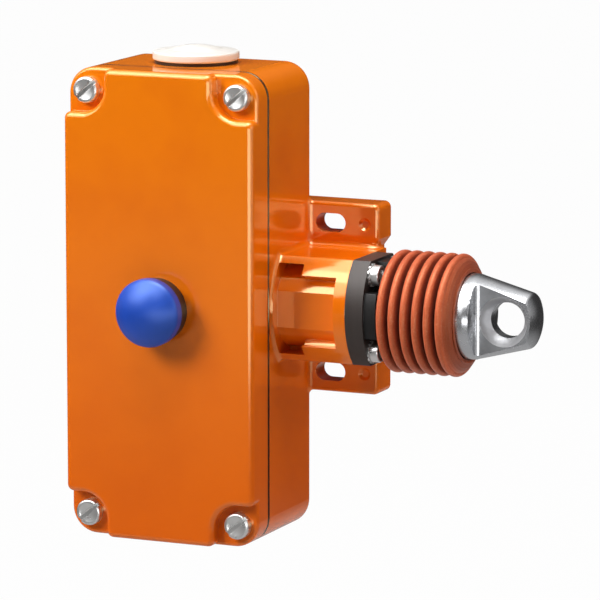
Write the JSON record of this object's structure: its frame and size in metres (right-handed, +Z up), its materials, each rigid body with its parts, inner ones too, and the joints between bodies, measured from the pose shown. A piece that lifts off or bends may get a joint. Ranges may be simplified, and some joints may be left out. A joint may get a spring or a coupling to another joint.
{
  "type": "rope pull switch",
  "caption": "Rope pull safety switch: cast enclosure with a domed reset button and a bellows-sealed, spring-loaded rope eye on its side.",
  "frame": {"origin": "on the mounting wall, midway between the two fixing slots", "axes": "+X along the pull of the rope, +Y into the wall (the cover faces -Y), +Z up along the enclosure"},
  "size_m": [0.1608, 0.0705, 0.1711],
  "materials": {
    "orange_paint": "satin orange-red paint on cast metal",
    "zinc_steel": "machined, bright",
    "bright_steel": "zinc plated",
    "spring_steel": "drawn wire",
    "black_plastic": "satin moulded",
    "white_plastic": "smooth moulded",
    "blue_plastic": "glossy moulded",
    "grey_plastic": "moulded",
    "black_rubber": "soft moulded",
    "red_rubber": "satin moulded",
    "bronze": "sintered",
    "brass": "turned"
  },
  "bodies": {
    "switch": {"housing_body": "orange_paint", "housing_cover": "orange_paint", "cover_gasket": "black_rubber", "cover_screws": "bright_steel", "reset_collar": "black_plastic", "reset_seal": "black_rubber", "reset_nut": "black_plastic", "reset_spring": "spring_steel", "top_cap": "white_plastic", "top_cap_seal": "black_rubber", "top_cap_nut": "white_plastic", "entry_plug": "black_plastic", "entry_plug_seal": "black_rubber", "bellows_flange": "black_plastic", "flange_screws": "bright_steel", "flange_washers": "bright_steel", "bellows": "red_rubber", "rod_bush": "bronze", "rope_spring": "spring_steel", "mechanism_frame": "zinc_steel", "frame_screws": "bright_steel", "latch_pin": "zinc_steel", "latch_spring": "spring_steel", "contact_block_upper": "grey_plastic", "contact_block_lower": "grey_plastic", "terminal_screws": "brass", "earth_screw": "brass", "earth_clamp": "brass"},
    "rope_pull_set": {"pull_eye": "zinc_steel", "pull_rod": "zinc_steel", "spring_piston": "zinc_steel", "cam_sleeve": "grey_plastic", "rod_nut": "bright_steel"},
    "reset_set": {"reset_button": "blue_plastic", "reset_clip": "spring_steel"},
    "latch": {"latch_lever": "zinc_steel"},
    "upper_plunger": {"contact_plunger_upper": "black_plastic"},
    "lower_plunger": {"contact_plunger_lower": "black_plastic"}
  },
  "joints": [
    {"name": "rope_pull", "type": "slide", "parent": "switch", "child": "rope_pull_set", "axis": [1, 0, 0], "range_m": [0, 0.01], "stiffness_N_per_m": 4000, "springref_m": -0.004, "deforming": ["bellows", "rope_spring"]},
    {"name": "reset_push", "type": "slide", "parent": "switch", "child": "reset_set", "axis": [0, 1, 0], "range_m": [0, 0.003], "stiffness_N_per_m": 1500, "springref_m": -0.002, "deforming": ["reset_spring"]},
    {"name": "latch_tilt", "type": "hinge", "parent": "switch", "child": "latch", "pos_m": [-0.0523, -0.0381, 0], "axis": [0, 0, 1], "range_deg": [0, 20.7]},
    {"name": "upper_contact", "type": "slide", "parent": "switch", "child": "upper_plunger", "axis": [0, 0, 1], "range_m": [0, 0.0025]},
    {"name": "lower_contact", "type": "slide", "parent": "switch", "child": "lower_plunger", "axis": [0, 0, -1], "range_m": [0, 0.0025]}
  ],
  "couplings": [
    {"joint": "latch_tilt", "follows": "reset_push", "rad_per_m": 120},
    {"joint": "upper_contact", "follows": "rope_pull", "ratio": 0.25},
    {"joint": "lower_contact", "follows": "rope_pull", "ratio": 0.25}
  ]
}
